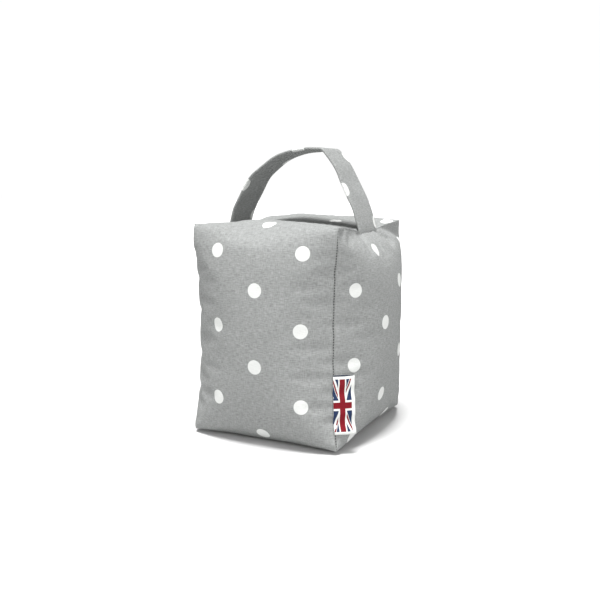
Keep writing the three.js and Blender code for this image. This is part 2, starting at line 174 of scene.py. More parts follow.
# The ribbon's middle line seen from above: away from the seam, round the fold and back
RIBBON_FRONT = [(-RIBBON_ROOT, 0.75), (3, 1.15), (8, 1.45), (12, 1.7), (15.1, 1.75)]
RIBBON_FOLD = [(16.2, 1.68), (17, 1.4), (17.35, 0.95), (17.1, 0.5), (16.4, 0.25)]
RIBBON_BACK = [(15.1, 0.18), (11, 0.2), (6, 0.25), (-RIBBON_ROOT, 0.3)]

# The print, in millimetres of cloth: its spots' radius and the softness of their rim, the
# distance between columns, which are half a repeat apart in height, and the repeat
SPOT_RADIUS = 6.2
SPOT_RIM = 0.15
SPOT_ACROSS = 40.0
SPOT_UP = 64.5
# The middle of one spot on each piece of cloth
FIRST_SPOT = {
    "front": (114.0, 168.3),
    "back": (47.0, 175.0),
    "right": (19.6, 136.9),
    "left": (127.0, 136.0),
}
STRAP_SPOT = (0.0, 44.0 + STRAP_ROOT)
# A place of the print that has no spot, for the strap's hidden ends
PLAIN_PLACE = (-30.0, 0.0)


class Pattern:
    """Panels of threads on a box: four walls, the two halves of the top, and the base. A node
    is a crossing of two threads, and a cell has four nodes."""

    def __init__(self, count):
        self.count = np.array(count)
        self.step = COVER / self.count
        self.index = {}
        self.nodes = []
        self.cells = []
        nx, ny, nz = count
        half = ny // 2
        self.panel(nx, nz, lambda p, q: (p, 0, q))
        self.panel(nx, nz, lambda p, q: (nx - p, ny, q))
        self.panel(ny, nz, lambda p, q: (nx, p, q))
        self.panel(ny, nz, lambda p, q: (0, ny - p, q))
        self.panel(nx, half, lambda p, q: (p, q, nz))
        self.panel(nx, half, lambda p, q: (nx - p, ny - q, nz))
        self.panel(nx, ny, lambda p, q: (nx - p, q, 0))
        self.nodes = np.array(self.nodes)
        self.cells = np.array(self.cells)

    def node(self, *ijk):
        if ijk not in self.index:
            self.index[ijk] = len(self.nodes)
            self.nodes.append(ijk)
        return self.index[ijk]

    def panel(self, across, along, where):
        for a, b in product(range(across), range(along)):
            corners = [(a, b), (a + 1, b), (a + 1, b + 1), (a, b + 1)]
            self.cells.append([self.node(*where(p, q)) for p, q in corners])

    def flat_positions(self):
        """The nodes of the box that the unfilled panels make, a little above the floor."""
        at = (self.nodes / self.count - [0.5, 0.5, 0.0]) * COVER
        at[:, 2] += START_HEIGHT
        return at

    def refined_from(self, coarse, at):
        """Start positions taken from a settled pattern with half as many threads."""
        total = np.zeros((len(self.nodes), 3))
        for ups in product((0, 1), repeat=3):
            corner = (self.nodes + ups) // 2
            total += at[[coarse.index[tuple(ijk)] for ijk in corner]]
        return total / 8


def make_threads(pattern):
    """Rows of node, node, length, pull and push: cell edges, diagonals and bending pairs."""
    nx, ny, nz = (int(c) for c in pattern.count)
    nodes = pattern.nodes
    flat = pattern.flat_positions()
    threads = {}

    def tie(a, b, length, pull, push):
        threads.setdefault((min(a, b), max(a, b)), (length, pull, push))

    def share(a, b):
        (ia, ja, ka), (ib, jb, kb) = nodes[a], nodes[b]
        on_top = ka == nz and kb == nz
        if on_top and 2 * ja == ny and 2 * jb == ny:
            return CENTRE_SEAM_SHARE
        if on_top and ia == ib and ia in (0, nx):
            return SIDE_SEAM_SHARE
        return 1.0

    for a, b, c, d in pattern.cells:
        for p, q in ((a, b), (b, c), (c, d), (d, a)):
            length = np.linalg.norm(flat[p] - flat[q])
            tie(p, q, length * share(p, q), 1.0, THREAD_PUSH)
        for p, q in ((a, c), (b, d)):
            length = np.linalg.norm(flat[p] - flat[q])
            tie(p, q, length, SHEAR_PULL, SHEAR_PULL * THREAD_PUSH)

    def bend(*trio):
        found = [pattern.index.get(ijk) for ijk in trio]
        if None not in found:
            a, middle, b = (flat[n] for n in found)
            length = np.linalg.norm(a - middle) + np.linalg.norm(middle - b)
            tie(found[0], found[2], length, BEND_PULL, BEND_PULL)

    for i, j, k in (tuple(int(c) for c in node) for node in nodes):
        bend((i, j, k), (i + 1, j, k), (i + 2, j, k))
        bend((i, j, k), (i, j, k + 1), (i, j, k + 2))
        if not (k == nz and 2 * (j + 1) == ny):
            bend((i, j, k), (i, j + 1, k), (i, j + 2, k))
    for i, (face, inward) in product(range(nx + 1), ((0, 1), (ny, -1))):
        bend((i, face + inward, nz), (i, face, nz), (i, face, nz - 1))
        bend((i, face + inward, 0), (i, face, 0), (i, face, 1))
    return [(a, b, *facts) for (a, b), facts in threads.items()]


def group_threads(threads, node_count):
    """Groups in which no two threads share a node, so each group can be pulled at once."""
    used = [0] * node_count
    groups = []
    for thread in threads:
        a, b = thread[:2]
        taken = used[a] | used[b]
        free = (~taken & (taken + 1)).bit_length() - 1
        used[a] |= 1 << free
        used[b] |= 1 << free
        if free == len(groups):
            groups.append([])
        groups[free].append(thread)
    # Each end of a thread takes half of its pull
    packed = []
    for group in groups:
        a, b, length, pull, push = (np.array(column) for column in zip(*group))
        packed.append((a, b, length, pull * 0.5, push * 0.5))
    return packed


def strap_ends(pattern):
    """Nodes of the two side top seams that hold the strap's ends, with their x and y."""
    nx, ny, nz = (int(c) for c in pattern.count)
    reach = max(1, math.floor(STRAP_WIDTH / 2 / (pattern.step[1] * SIDE_SEAM_SHARE)))
    offsets = np.arange(-reach, reach + 1)
    y = offsets / reach * STRAP_WIDTH / 2
    ends = []
    for i, side in ((0, -1), (nx, 1)):
        nodes = np.array([pattern.index[(i, ny // 2 + offset, nz)] for offset in offsets])
        ends.append((nodes, side * STRAP_SPAN / 2, y))
    return ends


def cell_normals(pattern, at):
    """The area that faces outwards at each node, as a vector."""
    a, b, c, d = (at[pattern.cells[:, n]] for n in range(4))
    area = np.cross(c - a, d - b) / 8
    normals = np.zeros_like(at)
    for n in range(4):
        for axis in range(3):
            normals[:, axis] += np.bincount(pattern.cells[:, n], area[:, axis], len(at))
    return normals


def pull_group(at, group):
    """Moves the ends of every thread in a group towards the thread's own length."""
    a, b, length, pull, push = group
    gap = at[b] - at[a]
    stretch = 1 - length / np.sqrt(np.einsum("ij,ij->i", gap, gap))
    gap *= (np.where(stretch > 0, pull, push) * stretch)[:, None]
    at[a] += gap
    at[b] -= gap


def settle(pattern, at, steps, push_share, growing):
    """The filling presses the panels outwards while every thread keeps its length."""
    groups = group_threads(make_threads(pattern), len(at))
    ends = strap_ends(pattern)
    before = at.copy()
    cell_area = pattern.step[0] * pattern.step[2]
    for step in range(steps):
        growth = min(1.0, step / (steps * GROWING_SHARE)) if growing else 1.0
        level = at[:, 2] / COVER[2]
        slack = TOP_SLACK * np.clip((level - TOP_BAND) / (1 - TOP_BAND), 0, 1)
        push = push_share * (FILLING_PUSH * (1 - slack) + FILLING_WEIGHT * (1 - level))
        move = cell_normals(pattern, at) * (push * growth * PUSH_SCALE / cell_area)[:, None]
        held = at.copy()
        at += (held - before) * (1 - DAMPING) + move
        before = held
        for turn in range(PASSES):
            for group in groups if turn % 2 == 0 else reversed(groups):
                pull_group(at, group)
            np.maximum(at[:, 2], 0, out=at[:, 2])
            for held_nodes, x, y in ends:
                at[held_nodes, 0] = x
                at[held_nodes, 1] = y
                at[held_nodes, 2] = at[held_nodes, 2].mean()
    return at


def stiffen_top(pattern, at):
    """Two layers of folded cloth lie along the top's rolls, so they don't ripple lengthways."""
    nx, ny, nz = (int(c) for c in pattern.count)
    rows = [(j, nz, TOP_PASSES) for j in range(ny + 1)]
    for below, j in product(range(1, STIFF_ROWS), (0, ny)):
        rows.append((j, nz - below, TOP_PASSES * (STIFF_ROWS - below) // STIFF_ROWS))
    for j, k, passes in rows:
        row = [pattern.index[(i, j, k)] for i in range(nx + 1)]
        line = at[row]
        for _ in range(passes):
            line[1:-1] += (line[:-2] + line[2:] - 2 * line[1:-1]) * SMOOTHING
        at[row] = line


def settled_cover():
    """The pattern with its fine threads, and where the filling has pressed them to."""
    coarse, at = None, None
    for count, steps, push_share in LEVELS:
        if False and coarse:
            steps = QUICK_STEPS
        pattern = Pattern(count)
        start = pattern.refined_from(coarse, at) if coarse else pattern.flat_positions()
        at = settle(pattern, start, steps, push_share, growing=coarse is None)
        if coarse is None:
            stiffen_top(pattern, at)
        coarse = pattern
    return pattern, at


def seam_lines(length, count, seams):
    """Distances along one side of the pattern: its threads, and the extra rows beside seams."""
    step = length / count
    lines = {round(step * n, 6) for n in range(count + 1)}
    for seam in seams:
        lines |= {round(seam + way * row, 6) for row in SEAM_ROWS for way in (-1, 1)}
    return sorted(line for line in lines if 0 <= line <= length)


class FinePattern:
    """The settled pattern with the seams' extra rows, ready to become a mesh. Each face knows
    its piece of cloth and its flat place in it."""

    def __init__(self, pattern, at):
        width, depth, height = COVER
        nx, ny, nz = (int(c) for c in pattern.count)
        xs = seam_lines(width, nx, (0, width))
        ys = seam_lines(depth, ny, (0, depth / 2, depth))
        zs = seam_lines(height, nz, (0, height))
        half_ys = [y for y in ys if y <= depth / 2 + SAME]
        self.pattern, self.at = pattern, at
        self.index, self.where, self.points = {}, [], []
        self.faces, self.places, self.pieces = [], [], []
        upright = lambda u, v: (u, v)
        over = lambda u, v: (u, height + v)
        under = lambda u, v: (width - u, -v)
        self.panel("front", xs, zs, lambda u, v: (u, 0, v), upright)
        self.panel("back", xs, zs, lambda u, v: (width - u, depth, v), upright)
        self.panel("right", ys, zs, lambda u, v: (width, u, v), upright)
        self.panel("left", ys, zs, lambda u, v: (0, depth - u, v), upright)
        self.panel("front", xs, half_ys, lambda u, v: (u, v, height), over)
        self.panel("back", xs, half_ys, lambda u, v: (width - u, depth - v, height), over)
        self.panel("front", xs, ys, lambda u, v: (width - u, v, 0), under)
        self.where = np.array(self.where)
        self.points = np.array(self.points)

    def node(self, x, y, z):
        key = (round(x, 3), round(y, 3), round(z, 3))
        if key not in self.index:
            self.index[key] = len(self.where)
            self.where.append(key)
            self.points.append(self.settled_point(np.array(key) / self.pattern.step))
        return self.index[key]

    def settled_point(self, ijk):
        """Where a place between the threads has settled, by shares of the nodes around it."""
        low = np.floor(ijk + 1e-4).astype(int)
        share = np.where(ijk - low < 1e-3, 0, ijk - low)
        total = np.zeros(3)
        for up in product((0, 1), repeat=3):
            weight = np.prod(np.where(up, share, 1 - share))
            if weight:
                total += weight * self.at[self.pattern.index[tuple(int(c) for c in low + up)]]
        return total

    def panel(self, piece, across, along, where, place):
        for a, b in product(range(len(across) - 1), range(len(along) - 1)):
            corners = ((a, b), (a + 1, b), (a + 1, b + 1), (a, b + 1))
            square = [(across[p], along[q]) for p, q in corners]
            self.faces.append([self.node(*where(u, v)) for u, v in square])
            self.places.append([place(u, v) for u, v in square])
            self.pieces.append(piece)


def seam_distances(where):
    """Distances in the cloth from the nearest upright, side top, side base and centre seam."""
    width, depth, height = COVER
    x, y, z = where.T
    on_front = (y < SAME) | (y > depth - SAME)
    on_side = (x < SAME) | (x > width - SAME)
    on_top = z > height - SAME
    on_base = z < SAME
    on_wall = (on_front | on_side) & (z > SAME) & (z < height - SAME)
    far = np.full(len(where), FAR)
    off_side = np.minimum(x, width - x)
    off_front = np.minimum(y, depth - y)
    upright = np.where(on_front & on_wall | (on_front & on_side), off_side, far)
    upright = np.where(on_side & on_wall, np.minimum(upright, off_front), upright)
    top = np.where(on_top, off_side, far)
    top = np.where(on_side, np.minimum(top, height - z), top)
    base = np.where(on_base, off_side, far)
    base = np.where(on_side, np.minimum(base, z), base)
    centre = np.where(on_top, np.abs(y - depth / 2), far)
    return upright, top, base, centre


def face_normals(points, faces):
    """The way out of the cloth at each point, of length one."""
    a, b, c, d = (points[np.array(faces)[:, n]] for n in range(4))
    area = np.cross(c - a, d - b)
    normals = np.zeros_like(points)
    for n in range(4):
        np.add.at(normals, np.array(faces)[:, n], area)
    return normals / np.linalg.norm(normals, axis=1)[:, None]


def sewn_and_filled(fine):
    """Moves the cloth in or out at its seams, puckers it beside them and lets the filling show."""
    points = fine.points.copy()
    normals = face_normals(points, fine.faces)
    upright, top, base, centre = seam_distances(fine.where)
    rows = (0, *SEAM_ROWS)
    out = np.interp(upright, rows, UPRIGHT_SEAM, right=0)
    out += np.where(upright > TOP_SEAM_START, np.interp(top, rows, TOP_SEAM, right=0), 0)
    out += np.interp(base, rows, UPRIGHT_SEAM, right=0) * BASE_SEAM_SHARE
    out += np.interp(centre, rows, CENTRE_SEAM, right=0)
    for n, point in enumerate(points):
        out[n] += LUMP * noise.noise(Vector(point) / LUMP_SIZE)
        reach = math.exp(-upright[n] / PUCKER_REACH) if upright[n] > PUCKER_START else 0
        out[n] += PUCKER * reach * noise.noise(Vector((*PUCKER_SEED, point[2] / PUCKER_PITCH)))
    points += normals * out[:, None]
    points[:, 2] = np.where(fine.points[:, 2] < FLAT_BELOW, 0, np.maximum(points[:, 2], 0))
    return points


def link(mesh, name):
    obj = bpy.data.objects.new(name, mesh)
    bpy.context.scene.collection.objects.link(obj)
    return obj


def make_piece(name, points, faces, layers, material, node):
    """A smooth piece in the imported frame. layers gives each UV layer's places in millimetres."""
    mesh = bpy.data.meshes.new(name)
    metres = (np.array(points) * MM).tolist()
    mesh.from_pydata(metres, [], [[int(n) for n in face] for face in faces])
    for layer, places in layers.items():
        data = mesh.uv_layers.new(name=layer).data
        for corner, place in enumerate(place for face in places for place in face):
            data[corner].uv = (place[0] * MM, place[1] * MM)
    mesh.shade_smooth()
    mesh.materials.append(material)
    piece = link(mesh, name)
    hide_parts(node)
    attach(piece, "root")
    return piece


def subdivide(piece):
    finer = piece.modifiers.new("fine cloth", "SUBSURF")
    finer.levels = 1
    finer.render_levels = 1
    finer.uv_smooth = "NONE"


def build_cover(material):
    pattern, at = settled_cover()
    fine = FinePattern(pattern, at)
    points = sewn_and_filled(fine)
    upright, top, _, _ = seam_distances(fine.where)
    fabric, sewing, ridge = [], [], []
    for face, places, piece in zip(fine.faces, fine.places, fine.pieces):
        first_u, first_v = FIRST_SPOT[piece]
        fabric.append([(u - first_u, v - first_v) for u, v in places])
        sewing.append([(upright[n], fine.where[n][2]) for n in face])
        ridge.append([(top[n], 0) for n in face])
    layers = {"Fabric": fabric, "Sewing": sewing, "Ridge": ridge}
    cover = make_piece(
        "sewn_cover", points, fine.faces, layers, material, "weighted_cover")
    subdivide(cover)
    return fine


def bezier(controls, count):
    t = np.linspace(0, 1, count)[:, None]
    a, b, c, d = (np.array(point) for point in controls)
    return a * (1 - t) ** 3 + 3 * b * t * (1 - t) ** 2 + 3 * c * t ** 2 * (1 - t) + d * t ** 3


def even_steps(line, step):
    """The same line with its points an even step apart, and how far along each one lies."""
    along = np.concatenate([[0], np.cumsum(np.linalg.norm(np.diff(line, axis=0), axis=1))])
    wanted = np.linspace(0, along[-1], max(2, round(along[-1] / step)) + 1)
    axes = [np.interp(wanted, along, line[:, axis]) for axis in range(line.shape[1])]
    return np.array(axes).T, wanted


def directions(line):
    ahead = np.gradient(line, axis=0)
    return ahead / np.linalg.norm(ahead, axis=1)[:, None]


def strap_line(end_height):
    """The strap's middle line, as x and z: from one end in the seam over the top to the other."""
    half = (STRAP_SPAN + STRAP_THICKNESS) / 2
    top = end_height + STRAP_RISE
    reach, fall = half + STRAP_CREASE, half - STRAP_CREASE
    left = bezier([
        (-half, end_height),
        (-half + LEFT_START[0] * reach, end_height + LEFT_START[1] * STRAP_RISE),
        (-half + LEFT_TOP[0] * reach, top + LEFT_TOP[1] * STRAP_RISE),
        (STRAP_CREASE, top),
    ], STRAP_CURVE_POINTS)
    right = bezier([
        (STRAP_CREASE, top),
        (half - RIGHT_TOP[0] * fall, top + RIGHT_TOP[1] * STRAP_RISE),
        (half - RIGHT_END[0] * fall, top + RIGHT_END[1] * STRAP_RISE),
        (half, end_height),
    ], STRAP_CURVE_POINTS)
    roots = [[(-half, end_height - STRAP_ROOT)], [(half, end_height - STRAP_ROOT)]]
    return np.concatenate([roots[0], left, right[1:], roots[1]])


def strap_section():
    """The band's outline, from one long edge over the outer face and back: across it and out."""
    half, thick = STRAP_WIDTH / 2, STRAP_THICKNESS / 2
    outer = [(a * half, o * thick) for a, o in zip(SECTION_ACROSS, SECTION_OUT)]
    return outer + [(a, -o) for a, o in outer[-2:0:-1]]


def print_girth(section):
    """How far round the section each of its points lies, with the whole way round stretched to
    two repeats of the print, so that the print meets itself along the folded edge."""
    girth = [0.0]
    for (y0, o0), (y1, o1) in zip(section, section[1:] + section[:1]):
        girth.append(girth[-1] + math.hypot(y1 - y0, o1 - o0))
    return [u * 2 * SPOT_ACROSS / girth[-1] for u in girth]


def strap_points(line, along, section):
    """The section carried along the line, with the waves of loose cloth between its ends."""
    points = []
    for (x, z), (dx, dz), far in zip(line, directions(line), along):
        ease = min(1, far / STRAP_EASE, (along[-1] - far) / STRAP_EASE)
        side = STRAP_WOBBLE * ease * noise.noise(Vector((far / WOBBLE_SIZE, *WOBBLE_SEED)))
        for y, out in section:
            wave_place = Vector((far / WAVE_SIZE[0], y / WAVE_SIZE[1], WAVE_SEED))
            wave = STRAP_WAVE * ease * noise.noise(wave_place)
            cup = STRAP_CUP * ease * ((2 * y / STRAP_WIDTH) ** 2 - STRAP_CUP_LEVEL)
            lift = out + wave - cup
            points.append((x - dz * lift, y + side, z + dx * lift))
    return points


def build_strap(material):
    low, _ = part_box("strap_handle")
    line, along = even_steps(strap_line(low[2] / MM + STRAP_END_LIFT), STRAP_STEP)
    section = strap_section()
    points = strap_points(line, along, section)
    girth = print_girth(section)
    ring = len(section)
    first_u, first_v = STRAP_SPOT
    faces, fabric = [], []
    for a, b in product(range(len(line) - 1), range(ring)):
        c = (b + 1) % ring
        faces.append([a * ring + b, a * ring + c, (a + 1) * ring + c, (a + 1) * ring + b])
        corners = ((b, a), (b + 1, a), (b + 1, a + 1), (b, a + 1))
        fabric.append([(girth[p] - first_u, along[q] - first_v) for p, q in corners])
    last = (len(line) - 1) * ring
    faces += [list(range(ring)), [last + n for n in reversed(range(ring))]]
    fabric += [[PLAIN_PLACE] * ring] * 2
    seamless = [[(FAR, 0)] * len(face) for face in faces]
    layers = {"Fabric": fabric, "Sewing": seamless, "Ridge": seamless}
    strap = make_piece(
        "folded_strap", points, faces, layers, material, "strap_handle")
    subdivide(strap)


def settled_column(fine, off_seam):
    """A function that gives the settled place at a height of the pattern, on the right side at
    a distance from its front seam."""
    width = COVER[0]
    column = sorted(
        (z, n) for n, (x, y, z) in enumerate(fine.where)
        if x > width - SAME and abs(y - off_seam) < SAME)
    heights = np.array([z for z, _ in column])
    places = np.array([fine.points[n] for _, n in column])
    return lambda v: np.array([np.interp(v, heights, places[:, axis]) for axis in range(3)])


def tag_direction(fine, root):
    """The way the tag lies seen from above: along the side's cloth, turned out a little."""
    middle = TAG_BASE + TAG_HEIGHT / 2
    beside = settled_column(fine, TAG_REACH * COVER[1] / LEVELS[0][0][1])
    x, y = (beside(middle) - root(middle))[:2]
    x, y = x / np.hypot(x, y), y / np.hypot(x, y)
    turn = -math.radians(TAG_TURN)
    return x * math.cos(turn) - y * math.sin(turn), x * math.sin(turn) + y * math.cos(turn)


def tag_points(fine, path, girth):
    """Points of the tag's outer side and then its inner side, with their places on the ribbon."""
    root = settled_column(fine, 0.0)
    ax, ay = tag_direction(fine, root)
    ahead = directions(path)
    points, places = [], []
    for side, v in product((1, -1), np.linspace(0, TAG_HEIGHT, TAG_ROWS)):
        x, y, z = root(TAG_BASE + v)
        bow = TAG_BOW * math.sin(math.pi * (BOW_PHASE[0] + BOW_PHASE[1] * v / TAG_HEIGHT))
        for (s, n), (ds, dn), far in zip(path, ahead, girth):
            across = s + SEAT_GAP - dn * side * RIBBON / 2
            out = n + SEAT_GAP + ds * side * RIBBON / 2 + bow * (s / TAG_WIDTH) ** 2
            skew = np.interp(far / girth[-1], SKEW_SPAN, (0, TAG_SKEW))
            points.append((x + ax * across + ay * out, y + ay * across - ax * out, z + skew))
            places.append((far - RIBBON_ROOT, v))
    return points, places


def tag_faces(rows, cols):
    """The tag's faces, each with 1 where the inside of the fold near its open top gets painted
    shade.
    """
    node = lambda side, r, c: (side * rows + r) * cols + c
    faces, opening_shade = [], []
    for r, c in product(range(rows - 1), range(cols - 1)):
        faces.append([node(0, r, c), node(0, r, c + 1), node(0, r + 1, c + 1), node(0, r + 1, c)])
        faces.append([node(1, r, c), node(1, r + 1, c), node(1, r + 1, c + 1), node(1, r, c + 1)])
        # The inner faces near the open top get painted shade
        opening_shade += [0, int(r >= rows - OPEN_ROWS)]
    top, end = rows - 1, cols - 1
    for c in range(end):
        d = c + 1
        faces.append([node(0, 0, c), node(1, 0, c), node(1, 0, d), node(0, 0, d)])
        faces.append([node(0, top, c), node(0, top, d), node(1, top, d), node(1, top, c)])
    for r in range(top):
        s = r + 1
        faces.append([node(0, r, 0), node(0, s, 0), node(1, s, 0), node(1, r, 0)])
        faces.append([node(0, r, end), node(1, r, end), node(1, s, end), node(0, s, end)])
    opening_shade += [0] * (len(faces) - len(opening_shade))
    return faces, opening_shade


def build_tag(material, fine):
    path, girth = even_steps(np.array(RIBBON_FRONT + RIBBON_FOLD + RIBBON_BACK), TAG_STEP)
    points, places = tag_points(fine, path, girth)
    faces, opening_shade = tag_faces(TAG_ROWS, len(path))
    layers = {
        "Fabric": [[places[n] for n in face] for face in faces],
        "Reverse": [[(share, 0)] * 4 for share in opening_shade],
    }
    tag = make_piece("woven_tag", points, faces, layers, material, "side_tag")


class Value:
    """A number or colour in a material's nodes, with the usual arithmetic."""

    def __init__(self, tree, socket):
        self.tree, self.socket = tree, socket

    def math(self, operation, *others, clamp=False):
        node = self.tree.nodes.new("ShaderNodeMath")
        node.operation, node.use_clamp = operation, clamp
        for socket, value in zip(node.inputs, (self, *others)):
            if isinstance(value, Value):
                self.tree.links.new(value.socket, socket)
            else:
                socket.default_value = value
        return Value(self.tree, node.outputs[0])

    def __add__(self, other):
        return self.math("ADD", other)

    def __sub__(self, other):
        return self.math("SUBTRACT", other)

    def __mul__(self, other):
        return self.math("MULTIPLY", other)

    def __truediv__(self, other):
        return self.math("DIVIDE", other)

    def abs(self):
        return self.math("ABSOLUTE")

    def min(self, other):
        return self.math("MINIMUM", other)

    def max(self, other):
        return self.math("MAXIMUM", other)

    def fall(self, start, end):
        """1 below start, 0 above end, and smooth between them."""
        node = self.tree.nodes.new("ShaderNodeMapRange")
        node.interpolation_type = "SMOOTHSTEP"
        self.tree.links.new(self.socket, node.inputs["Value"])
        for name, value in (("From Min", start), ("From Max", end), ("To Min", 1), ("To Max", 0)):
            node.inputs[name].default_value = value
        return Value(self.tree, node.outputs[0])


# How much every cloth here shines
SHINE = 0.12


class Cloth:
    """A material being made, with helpers for places on the cloth, noise and colours."""

    def __init__(self, name, roughness):
        self.material = bpy.data.materials.new(name)
        self.material.use_nodes = True
        self.tree = self.material.node_tree
        self.shader = self.tree.nodes["Principled BSDF"]
        self.shader.inputs["Roughness"].default_value = roughness
        self.shader.inputs["Specular IOR Level"].default_value = SHINE

    def place(self, layer):
        """The cloth's own two coordinates, in millimetres."""
        uv = self.tree.nodes.new("ShaderNodeUVMap")
        uv.uv_map = layer
        parts = self.tree.nodes.new("ShaderNodeSeparateXYZ")
        self.tree.links.new(uv.outputs[0], parts.inputs[0])
        return tuple(Value(self.tree, parts.outputs[n]) * (1 / MM) for n in range(2))

    def noise(self, u, v, sizes, detail=2, seed=0.0):
        join = self.tree.nodes.new("ShaderNodeCombineXYZ")
        for socket, value, size in zip(join.inputs, (u, v), sizes):
            self.tree.links.new((value / size).socket, socket)
        join.inputs[2].default_value = seed
        noise_node = self.tree.nodes.new("ShaderNodeTexNoise")
        noise_node.inputs["Scale"].default_value = 1
        noise_node.inputs["Detail"].default_value = detail
        self.tree.links.new(join.outputs[0], noise_node.inputs["Vector"])
        return Value(self.tree, noise_node.outputs["Fac"]) - 0.5

    def mix(self, share, low, high):
        """A colour between two, each a constant or another mix."""
        node = self.tree.nodes.new("ShaderNodeMix")
        node.data_type = "RGBA"
        self.tree.links.new(share.socket, node.inputs["Factor"])
        for name, colour in (("A", low), ("B", high)):
            socket = next(s for s in node.inputs if s.name == name and s.type == "RGBA")
            if isinstance(colour, tuple):
                socket.default_value = (*colour, 1)
            else:
                self.tree.links.new(colour, socket)
        return next(s for s in node.outputs if s.type == "RGBA")

    def shade(self, colour, share):
        """A colour made lighter or darker by a share that varies about one."""
        node = self.tree.nodes.new("ShaderNodeVectorMath")
        node.operation = "SCALE"
        self.tree.links.new(colour, node.inputs[0])
        self.tree.links.new(share.socket, node.inputs["Scale"])
        return node.outputs[0]

    def finish(self, colour, height, distance):
        """The material, with its colour and with a relief of so many millimetres."""
        self.tree.links.new(colour, self.shader.inputs["Base Color"])
        bump = self.tree.nodes.new("ShaderNodeBump")
        bump.inputs["Strength"].default_value = 1
        bump.inputs["Distance"].default_value = distance * MM
        self.tree.links.new(height.socket, bump.inputs["Height"])
        self.tree.links.new(bump.outputs[0], self.shader.inputs["Normal"])
        return self.material


def weighted(values, shares):
    """The sum of the named values, each times its share."""
    terms = [values[name] * share for name, share in shares.items()]
    return sum(terms[1:], terms[0])


# The cotton's colours, and how far each drifts in patches
GREY = (0.222, 0.228, 0.224)
GREY_DRIFT = 1.04
PRINT_WHITE = (0.575, 0.585, 0.57)
WHITE_DRIFT = 0.97
# Dark thread of the stitches, which also serves as the painted shade in the sunk seams
SEAM_THREAD_AND_SHADE = (0.05, 0.052, 0.05)
COTTON_ROUGHNESS = 0.95
# The pitch of the yarn and of the stitches, in millimetres
YARN = 0.62
STITCH = 2.3
# The cotton's unevenness: the size of each noise across and up, its detail and its seed
COTTON_NOISE = {
    "warp": ((0.75, 4.5), 3, 2.0),
    "weft": ((4.5, 0.75), 3, 5.0),
    "mottle": ((3, 3), 5, 8.0),
    "broad": ((45, 45), 1, 11.0),
    "waver": ((3, 14), 2, 14.0),
}
# How much each part of the cloth lightens it, about a mean tone, and how much it raises it
COTTON_TONE = {"warp": 0.7, "weft": 1.0, "mottle": 0.08, "broad": 0.08, "weave": 0.25}
MEAN_TONE = 0.9
COTTON_RELIEF = {"weave": 0.5, "warp": 0.9, "weft": 1.3, "spot": 0.15}
RELIEF_DEPTH = 0.16
# How far the yarn strays, how uneven it makes a spot's rim, and how well the print hides it
YARN_STRAY = 0.5
RIM_UNEVEN = 0.5
PRINT_COVER = 0.85
# The sewn line, dashes of dark thread with painted shade of the sunk seam between them: the
# stitch's part of its pitch, the dark line's edges in millimetres and its painted shade between
# stitches, and the painted highlight along the raised top seams
STITCH_EDGE = (-0.2, 0.5)
SEAM_LINE_EDGE = (0.2, 0.7)
PAINTED_SEAM_SHADE = 0.15
RIDGE_HIGHLIGHT_EDGE = (0.2, 1.0)
RIDGE_HIGHLIGHT = 0.35


def spotted_cotton():
    """Plain-woven cotton of uneven yarn, printed with spots."""
    cloth = Cloth("spotted cotton", COTTON_ROUGHNESS)
    u, v = cloth.place("Fabric")
    off, along = cloth.place("Sewing")
    ridge, _ = cloth.place("Ridge")
    parts = {name: cloth.noise(u, v, *facts) for name, facts in COTTON_NOISE.items()}
    stray = parts["waver"] * YARN_STRAY
    across_yarn = ((u / YARN + stray) * math.pi).math("SINE")
    up_yarn = ((v / YARN + stray) * math.pi).math("SINE")
    parts["weave"] = (across_yarn * up_yarn).abs()
    tone = weighted(parts, COTTON_TONE) + MEAN_TONE
    distances = []
    for shift_u, shift_v in ((0, 0), (SPOT_ACROSS, SPOT_UP / 2)):
        across = (u - shift_u).math("WRAP", SPOT_ACROSS, -SPOT_ACROSS)
        up = (v - shift_v).math("WRAP", SPOT_UP / 2, -SPOT_UP / 2)
        distances.append((across * across + up * up).math("SQRT"))
    rim = distances[0].min(distances[1]) + (parts["warp"] + parts["weft"]) * RIM_UNEVEN
    parts["spot"] = rim.fall(SPOT_RADIUS - SPOT_RIM, SPOT_RADIUS + SPOT_RIM)
    patches = parts["mottle"] + 0.5
    grey = cloth.mix(patches, GREY, tuple(c * GREY_DRIFT for c in GREY))
    white = cloth.mix(patches, PRINT_WHITE, tuple(c * WHITE_DRIFT for c in PRINT_WHITE))
    covered_tone = tone * (1 - PRINT_COVER) + PRINT_COVER
    printed = cloth.mix(parts["spot"], cloth.shade(grey, tone), cloth.shade(white, covered_tone))
    # The seam line: dashes of dark thread, with painted shade of the sunk seam between them
    dash = (along * (2 * math.pi / STITCH)).math("SINE").fall(*STITCH_EDGE)
    thread_and_painted_shade = off.fall(*SEAM_LINE_EDGE) * (dash * (1 - PAINTED_SEAM_SHADE) + PAINTED_SEAM_SHADE)
    sewn = cloth.mix(thread_and_painted_shade, printed, SEAM_THREAD_AND_SHADE)
    # Painted highlight: the cloth is made paler along the raised top seams, where their ridge
    # catches more light
    ridge_lit = cloth.shade(sewn, ridge.fall(*RIDGE_HIGHLIGHT_EDGE) * RIDGE_HIGHLIGHT + 1)
    return cloth.finish(ridge_lit, weighted(parts, COTTON_RELIEF), RELIEF_DEPTH)


# The ribbon's colours, and the painted shade inside its fold's open top
NAVY = (0.016, 0.028, 0.07)
RED = (0.16, 0.006, 0.012)
TAG_WHITE = (0.6, 0.61, 0.59)
TAG_OPENING_SHADE = (0.03, 0.035, 0.05)
